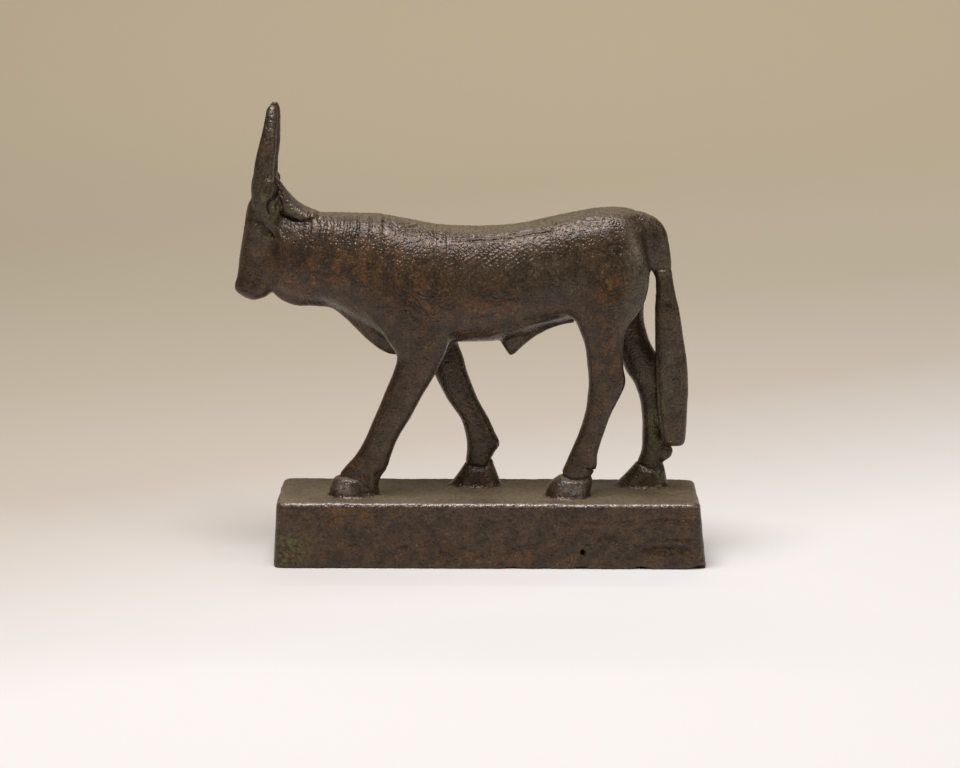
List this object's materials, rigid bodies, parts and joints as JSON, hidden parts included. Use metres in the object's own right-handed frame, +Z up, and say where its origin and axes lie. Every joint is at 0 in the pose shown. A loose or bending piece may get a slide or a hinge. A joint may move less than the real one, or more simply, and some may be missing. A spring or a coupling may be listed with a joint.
{
  "type": "bronze bull figurine",
  "caption": "Small ancient cast bronze bull striding on its own rectangular plinth, with upright horns, a disk and cobra between them, an engraved saddle cloth and a long hanging tail.",
  "frame": {"origin": "centre of the overall box, on the plane of the plinth's underside", "axes": "+X from the head to the tail along the plinth, +Y towards the bull's right side, +Z up"},
  "size_m": [0.1088, 0.027, 0.1057],
  "materials": {
    "bronze": "dark brown patinated cast bronze, worn to a soft gloss on the ridges"
  },
  "bodies": {
    "root": {"bull_on_plinth": "bronze"}
  },
  "joints": []
}
